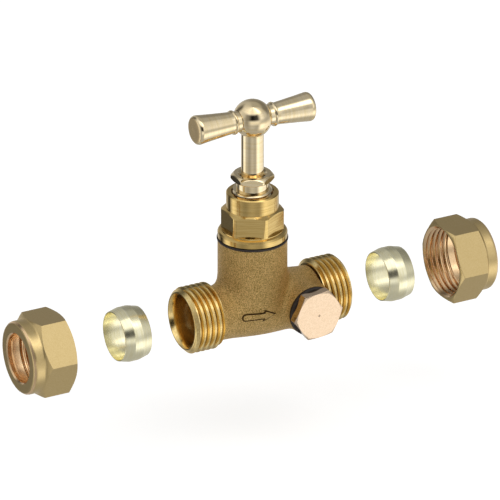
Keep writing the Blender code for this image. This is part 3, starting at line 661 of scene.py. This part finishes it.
hub_z = (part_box("crutch_arm_left")[0].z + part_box("crutch_arm_left")[1].z) / 2 / mm
hub_radius, spot = 6.05, 5.0
bm = bmesh.new()
bmesh.ops.create_uvsphere(bm, u_segments=96, v_segments=48, radius=hub_radius)
hub_place = Matrix.Translation((0, 0, hub_z))
hub = piece_from(bm, "handle_ball", hub_place)
shaped(hub, piece_from(rod(stem + 0.1, -7, 1.95), "bore", hub_place))
for direction in (ALONG_INLET, ALONG_OUTLET):
    seat = turned([(0, 8), (4.2, 8), (4.2, spot), (2.15, spot), (2.15, 3.6), (0, 3.6)])
    shaped(hub, piece_from(seat, "seat", hub_place @ direction))
shaped(hub, piece_from(rod(1.45, 2, 8, 48), "grub_hole", hub_place @ ALONG_BACK))
eased(hub, 0.08, angle=35)
finished(hub, polished_brass, "spindle_and_handle", ["crutch_hub"], sharp=40)

arm_brass = grained(
    "arm_brass",
    (0.98, 0.83, 0.56),
    (0.93, 0.76, 0.46),
    0.09,
    0.7,
    0.002,
    stretch=(1, 0.1, 0.1),
    spread=0.06,
)
faced_brass = grained(
    "faced_brass", (0.92, 0.72, 0.42), (0.8, 0.6, 0.31), 0.36, 0.3, 0.02, spread=0.1
)
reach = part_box("crutch_arm_right")[1].x / mm
for name, direction in (("left", ALONG_INLET), ("right", ALONG_OUTLET)):
    seat = spot + 0.1
    profile = [
        (0, reach - 0.05),
        (0.45, reach),
        (3.4, reach),
        (4.0, reach - 0.12),
        (4.4, reach - 0.45),
        (4.6, reach - 1.0),
        (4.57, reach - 1.6),
    ]
    for step in range(1, 9):
        share = step / 8
        profile.append((4.57 - 1.15 * share**0.9, reach - 1.6 - (reach - 9.1) * share))
    profile += [
        (3.42, seat + 2.3),
        (3.75, seat + 2.15),
        (3.85, seat + 1.85),
        (3.75, seat + 1.5),
        (3.35, seat + 1.2),
        (3.3, seat),
        (2.0, seat),
        (2.0, seat - 1.2),
        (0, seat - 1.2),
    ]
    arm = piece_from(turned(profile), f"handle_arm_{name}", hub_place @ direction)
    stands_for = [f"crutch_arm_{name}"]
    finished(arm, arm_brass, "spindle_and_handle", stands_for, sharp=50)
    arm.data.materials.append(faced_brass)
    for face in arm.data.polygons:
        face.material_index = int(abs(face.center.x) > (reach - 0.08) * mm)

grub = piece_from(rod(1.3, 3.6, 5.6, 48), "handle_grub", hub_place @ ALONG_BACK)
shaped(grub, piece_from(rod(0.75, 4.6, 7, 6), "hexagon_socket", hub_place @ ALONG_BACK))
eased(grub, 0.08)
finished(grub, turned_brass, "spindle_and_handle", ["handle_grub_screw"])

# --- Drain plug ---------------------------------------------------------------------------------
# A hexagon-headed plug with a black fibre washer, screwed into the boss on the outlet side. Its face
# is turned bright, with the lathe centre's pip left in the middle.

low, high = (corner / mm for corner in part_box("drain_washer"))
washer = piece_from(ring(high.z, drain_bore, -high.y, -low.y), "drain_washer_ring", boss_place)
finished(washer, rubber, "drain_washer", ["drain_washer"])

low, high = (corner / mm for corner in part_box("drain_plug"))
plug_face, head_bottom = -low.y, -low.y - 2.9
plug = piece_from(flats(14.8, head_bottom, plug_face, 35), "drain_plug_head", boss_place)
corners_off = turned(
    [
        (0, plug_face + 1),
        (7.35 - 2.3, plug_face + 1),
        (7.35, plug_face),
        (8.5, plug_face - 0.5),
        (8.5, head_bottom),
        (0, head_bottom),
    ]
)
shaped(plug, piece_from(corners_off, "corners", boss_place), "INTERSECT")
pip = turned([(0, plug_face + 0.1), (0.5, plug_face + 0.1), (0, plug_face - 0.35)], 32)
shaped(plug, piece_from(pip, "pip", boss_place))
eased(plug, 0.12)
shank_end = boss_end - 4.4
shaped(plug, piece_from(rod(5.6, shank_end + 0.3, head_bottom + 0.5), "shank", boss_place), "UNION")
plug_thread = screw_thread(6.5785, 5.72, 1.337, shank_end, boss_end, 64)
shaped(plug, piece_from(plug_thread, "thread", boss_place), "UNION")
plug_brass = grained(
    "plug_brass", (0.79, 0.6, 0.42), (0.75, 0.56, 0.38), 0.16, 0.5, 0.003, spread=0.04
)
finished(plug, plug_brass, "drain_plug", ["drain_plug"])

# --- Compression nuts ---------------------------------------------------------------------------
# Forged and turned nuts in satin brass: six flats, a round collar with a soft edge round the pipe
# hole, and inside the mouth the female thread, a relief and the cone that squeezes the olive. The
# thread and the cone are freshly cut, so they are brighter and redder.

nut_brass = grained(
    "nut_brass", (0.76, 0.58, 0.28), (0.7, 0.52, 0.23), 0.32, 0.3, 0.004, spread=0.06
)
# Freshly cut brass whose thread valleys and relief are darkened with a painted shade by ambient
# occlusion.
cut_brass = grained(
    "cut_brass",
    (0.97, 0.7, 0.42),
    (0.9, 0.62, 0.34),
    0.2,
    0.4,
    0.004,
    spread=0.06,
    painted_shade=(0.09, 0.025, 0.006),
    reach=1.8,
    open_at=(0.3, 0.75),
)
for name, direction, turn in (("inlet", ALONG_INLET, 4), ("outlet", ALONG_OUTLET, 1.5)):
    low, high = (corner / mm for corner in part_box(f"{name}_nut"))
    length = high.x - low.x
    mouth_x = high.x if name == "inlet" else low.x
    place = Matrix.Translation((mouth_x, 0, 0)) @ direction
    hex_end, across, corner_radius, collar = 10.0, 23.6, 13.9, 11.5
    nut = piece_from(flats(across, 0, length, turn), f"{name}_nut_body", place)
    outside = turned(
        [
            (0, length),
            (collar - 1.3, length),
            (collar - 0.55, length - 0.2),
            (collar - 0.1, length - 0.75),
            (collar, length - 1.3),
            (collar, hex_end + 0.9),
            (collar + 0.12, hex_end + 0.45),
            (collar + 0.45, hex_end + 0.1),
            (corner_radius, hex_end - 1.05),
            (corner_radius, 1.05),
            (across / 2, 0),
            (0, 0),
        ]
    )
    shaped(nut, piece_from(outside, "outside", place), "INTERSECT")
    eased(nut, 0.16)
    crest, hole, mouth, relief_end, cone_end = 10.65, 7.65, 11.4, 8.1, 12.8
    relief = crest + 0.325
    inside = turned(
        [
            (0, length + 1),
            (hole + 0.4, length + 1),
            (hole + 0.4, length),
            (hole, length - 0.4),
            (hole, cone_end),
            (relief, cone_end - (relief - hole) * 0.6),
            (relief, relief_end),
            (crest - 0.3, relief_end),
            (crest - 0.3, 1.05),
            (mouth, 0.0),
            (mouth, -1),
            (0, -1),
        ]
    )
    shaped(nut, piece_from(inside, "inside", place))
    thread = screw_thread(crest + 0.65, crest, port_pitch, 0.5, 8.6)
    shaped(nut, piece_from(thread, "thread", place))
    finished(nut, nut_brass, f"{name}_nut", [f"{name}_nut"])
    nut.data.materials.append(cut_brass)
    for face in nut.data.polygons:
        in_mouth = math.hypot(face.center.y, face.center.z) < mouth * mm
        face.material_index = int(in_mouth and abs(face.normal.x) < 0.9)

# --- Olives -------------------------------------------------------------------------------------
# Soft brass rings, pale and bright: a plain band between two long tapers, thin at both ends.

olive_brass = grained(
    "olive_brass",
    (0.98, 0.93, 0.66),
    (0.95, 0.88, 0.57),
    0.24,
    0.6,
    0.003,
    stretch=(1, 0.1, 0.1),
    spread=0.08,
)
for name, direction in (("inlet", ALONG_INLET), ("outlet", ALONG_OUTLET)):
    low, high = (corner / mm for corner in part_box(f"{name}_olive"))
    length = high.x - low.x
    place = Matrix.Translation((high.x if name == "inlet" else low.x, 0, 0)) @ direction
    profile = [(7.55, length), (7.75, length), (7.85, length - 0.1)]
    profile += [(8.55, length - 2.9), (8.6, length - 3.2), (8.6, 3.2), (8.55, 2.9)]
    profile += [(7.85, 0.1), (7.75, 0), (7.55, 0)]
    olive = piece_from(turned(profile), f"{name}_olive_ring", place)
    finished(olive, olive_brass, f"{name}_olive", [f"{name}_olive"], sharp=60)

# --- Pieces inside ------------------------------------------------------------------------------
# The jumper with its rubber washer and nut, and the gland's ring and packing, are all hidden in the
# body and the bonnet, so they keep the model's own solids with their real materials.

yarn = grained(
    "packing_yarn", (0.86, 0.85, 0.8), (0.7, 0.68, 0.62), 0.7, 0.5, 0.08, metallic=0.0
)
for node, material in (
    ("jumper", turned_brass),
    ("jumper_nut", turned_brass),
    ("gland_follower", turned_brass),
    ("seat_washer", rubber),
    ("gland_packing", yarn),
):
    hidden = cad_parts[node]
    hidden.data.materials.clear()
    hidden.data.materials.append(material)

# --- Studio -------------------------------------------------------------------------------------
# A wide, lit white floor, one long camera, and a world that holds all the other light: bright and
# dark stretches in a ring round the valve, which change with the height.

bm = bmesh.new()
bmesh.ops.create_grid(bm, x_segments=1, y_segments=1, size=6000)
floor = piece_from(bm, "floor", Matrix.Translation((0, 0, -45)))
white = bpy.data.materials.new("floor_white")
white.use_nodes = True
paint = white.node_tree.nodes["Principled BSDF"].inputs
paint["Base Color"].default_value = (0.93, 0.93, 0.93, 1)
paint["Roughness"].default_value = 0.9
paint["Emission Color"].default_value = (1, 1, 1, 1)
paint["Emission Strength"].default_value = 0.5
floor.data.materials.append(white)
floor.visible_glossy = False
floor.visible_shadow = False

azimuth, elevation, distance = math.radians(-28.3), math.radians(24.6), 2.0
back = Vector(
    (
        math.sin(azimuth) * math.cos(elevation),
        -math.cos(azimuth) * math.cos(elevation),
        math.sin(elevation),
    )
)
right = Vector((math.cos(azimuth), math.sin(azimuth), 0))
up = back.cross(right)
field = 154.6 * mm
centre = right * (-0.76 * mm) + up * (17.0 * mm)
camera = bpy.data.objects.new("camera", bpy.data.cameras.new("camera"))
bpy.context.scene.collection.objects.link(camera)
camera.matrix_world = Matrix.Translation(centre + back * distance) @ Matrix(
    (
        (right.x, up.x, back.x),
        (right.y, up.y, back.y),
        (right.z, up.z, back.z),
    )
).to_4x4()
camera.data.lens = camera.data.sensor_width * distance / field
camera.data.clip_end = 20
bpy.context.scene.camera = camera

world = bpy.data.worlds.new("studio")
world.use_nodes = True
bpy.context.scene.world = world
nodes, links = world.node_tree.nodes, world.node_tree.links
sky = nodes["Background"]
direction = nodes.new("ShaderNodeTexCoord")
parts = nodes.new("ShaderNodeSeparateXYZ")
links.new(direction.outputs["Generated"], parts.inputs["Vector"])
compass = nodes.new("ShaderNodeTexGradient")
compass.gradient_type = "RADIAL"
links.new(direction.outputs["Generated"], compass.inputs["Vector"])


def band(levels):
    """The light round the valve at one height: its levels go from the left, by the front."""
    ramp = nodes.new("ShaderNodeValToRGB")
    ramp.color_ramp.interpolation = "EASE"
    stops = ramp.color_ramp.elements
    while len(stops) > 1:
        stops.remove(stops[-1])
    for number, level in enumerate(levels):
        stop = stops[0] if number == 0 else stops.new(number / len(levels))
        stop.position = number / len(levels)
        stop.color = (level, level, level, 1)
    last = stops.new(1.0)
    last.color = stops[0].color
    links.new(compass.outputs["Fac"], ramp.inputs["Fac"])
    return ramp.outputs["Color"]


# Twelve levels each, 30 degrees apart: left, front left, front, front right, right, back.
shown = band((0.43,) * 12)
for start, end, levels in (
    (-0.9, -0.55, (0.5, 0.35, 0.5, 0.4, 1.35, 1.1, 0.97, 0.65, 0.6, 0.6, 0.02, 1.2)),
    (-0.45, -0.1, (0.6, 0.3, 0.9, 0.9, 0.55, 0.45, 0.45, 0.45, 0.4, 0.6, 0.02, 1.2)),
    (-0.05, 0.25, (0.6, 0.25, 0.01, 0.05, 0.95, 0.6, 0.2, 0.2, 0.25, 0.45, 0.1, 0.7)),
    (0.55, 0.8, (1.0, 1.2, 1.0, 1.3, 2.2, 0.7, 0.4, 0.4, 0.4, 0.5, 0.6, 0.8)),
):
    above = nodes.new("ShaderNodeMapRange")
    above.interpolation_type = "SMOOTHSTEP"
    above.inputs["From Min"].default_value = start
    above.inputs["From Max"].default_value = end
    links.new(parts.outputs["Z"], above.inputs["Value"])
    mixed = nodes.new("ShaderNodeMix")
    mixed.data_type = "RGBA"
    links.new(above.outputs["Result"], mixed.inputs["Factor"])
    links.new(shown, mixed.inputs[6])
    links.new(band(levels), mixed.inputs[7])
    shown = mixed.outputs[2]
links.new(shown, sky.inputs["Color"])

bpy.context.scene.view_settings.view_transform = "Standard"
